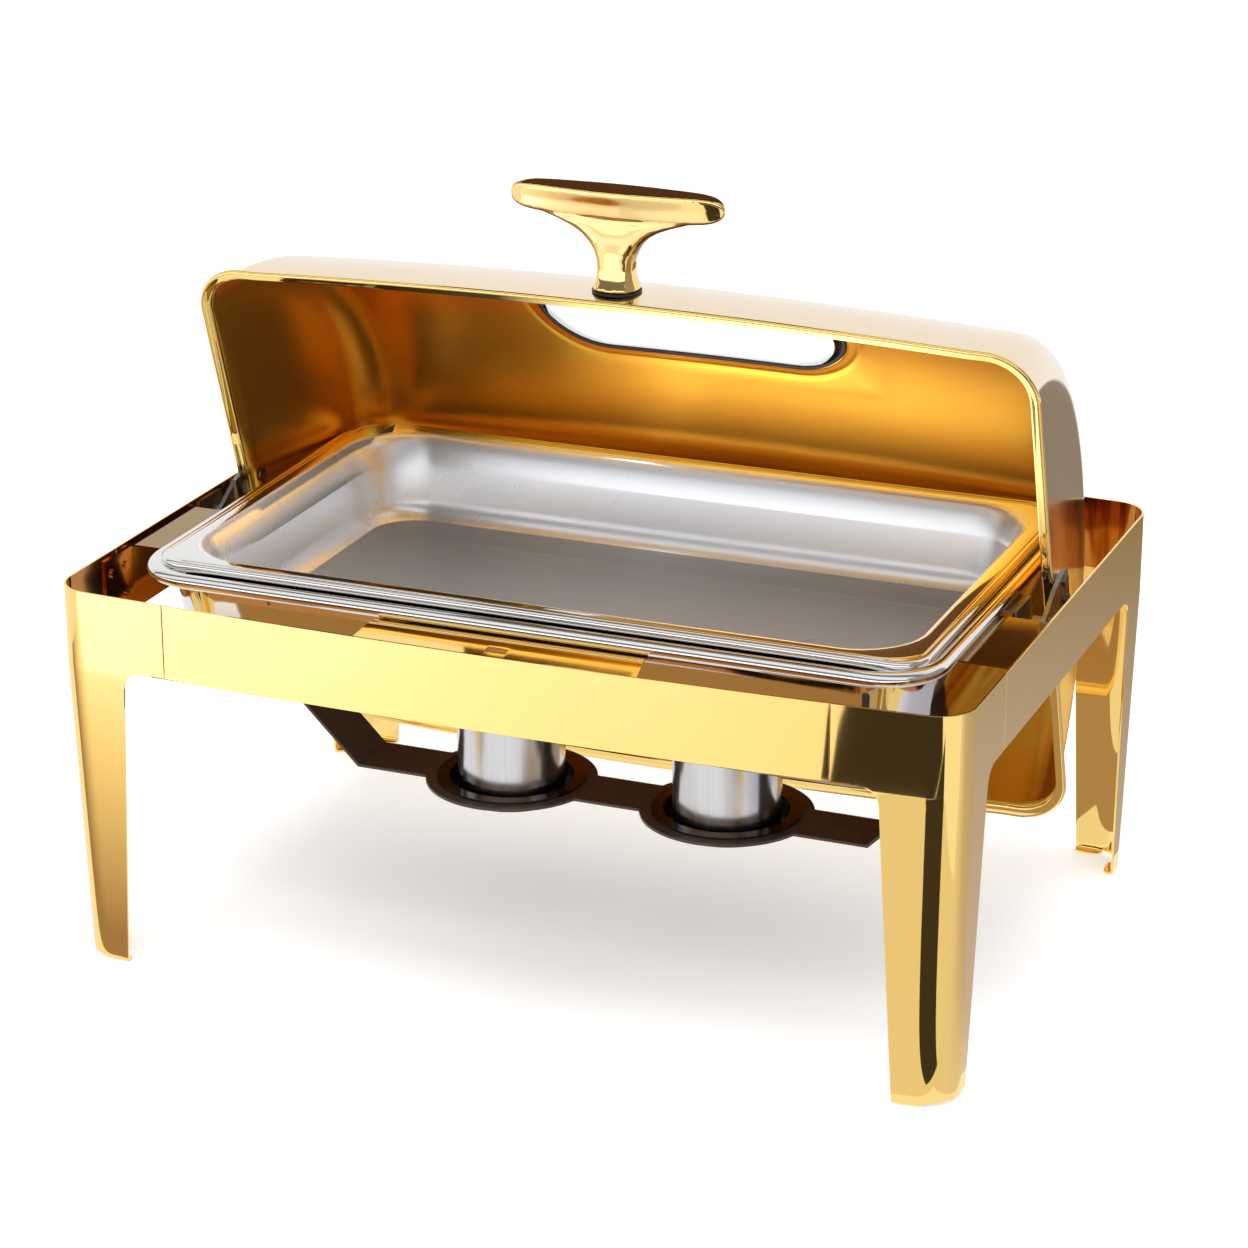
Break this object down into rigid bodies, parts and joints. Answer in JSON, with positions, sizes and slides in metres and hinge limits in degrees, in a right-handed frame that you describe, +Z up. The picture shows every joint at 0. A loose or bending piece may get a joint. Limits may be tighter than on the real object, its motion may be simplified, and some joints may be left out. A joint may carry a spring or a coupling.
{
  "type": "roll top chafer",
  "caption": "Rectangular buffet chafer: legged stand, water pan, food pan, fuel bracket with cups, and a domed lid with window and T handle that rolls back on side pivots.",
  "frame": {"origin": "on the floor plane at the centre of the bounding box", "axes": "+Z up, +X along the width, front towards -Y"},
  "size_m": [0.6226, 0.4484, 0.51],
  "materials": {
    "gold_polished": "polished",
    "gold_satin": "satin",
    "dark_gold": "polished, dark reflection",
    "stainless": "satin",
    "polished_steel": "polished",
    "dark_steel": "zinc plated",
    "glass_clear": "clear tempered",
    "black_rubber": "matte"
  },
  "bodies": {
    "stand": {"leg_front_left": "gold_polished", "leg_front_right": "gold_polished", "leg_rear_left": "gold_polished", "leg_rear_right": "gold_polished", "rail_front": "gold_polished", "rail_rear": "gold_polished", "rail_left": "gold_polished", "rail_right": "gold_polished", "splice_plates": "gold_polished", "ledge_front": "gold_polished", "ledge_left": "gold_polished", "ledge_right": "gold_polished", "hinge_bracket_left": "dark_steel", "hinge_bracket_right": "dark_steel", "hinge_pin_left": "dark_steel", "hinge_pin_right": "dark_steel", "fuel_bracket": "dark_gold", "bracket_screws": "dark_steel", "fuel_holder_left": "polished_steel", "fuel_holder_right": "polished_steel"},
    "water_tray": {"water_pan": "stainless"},
    "food_tray": {"food_pan": "stainless"},
    "lid": {"lid_shell": "gold_satin", "lid_bead": "gold_polished", "window_glass": "glass_clear", "window_gasket": "black_rubber", "handle": "gold_polished", "handle_washer": "black_rubber", "handle_screw": "dark_steel", "hinge_arm_left": "dark_steel", "hinge_arm_right": "dark_steel", "lid_rivets": "dark_steel"},
    "cup_l": {"fuel_cup_left": "polished_steel", "fuel_cap_left": "polished_steel"},
    "cup_r": {"fuel_cup_right": "polished_steel", "fuel_cap_right": "polished_steel"},
    "damper_l": {"damper_left": "dark_steel"},
    "damper_r": {"damper_right": "dark_steel"}
  },
  "joints": [
    {"name": "lid_roll", "type": "hinge", "parent": "stand", "child": "lid", "pos_m": [0, 0, 0.2465], "axis": [-1, 0, 0], "range_deg": [-71.6, 18.4]},
    {"name": "water_tray_lift", "type": "slide", "parent": "stand", "child": "water_tray", "axis": [0, 0, 1], "range_m": [0, 0.015]},
    {"name": "food_tray_lift", "type": "slide", "parent": "water_tray", "child": "food_tray", "axis": [0, 0, 1], "range_m": [0, 0.035]},
    {"name": "cup_l_lift", "type": "slide", "parent": "stand", "child": "cup_l", "axis": [0, 0, 1], "range_m": [0, 0.012]},
    {"name": "cup_r_lift", "type": "slide", "parent": "stand", "child": "cup_r", "axis": [0, 0, 1], "range_m": [0, 0.012]},
    {"name": "damper_l_turn", "type": "hinge", "parent": "cup_l", "child": "damper_l", "pos_m": [-0.08, 0.027, 0.151], "axis": [0, 0, 1], "range_deg": [0, 75]},
    {"name": "damper_r_turn", "type": "hinge", "parent": "cup_r", "child": "damper_r", "pos_m": [0.08, 0.027, 0.151], "axis": [0, 0, 1], "range_deg": [0, 75]}
  ]
}
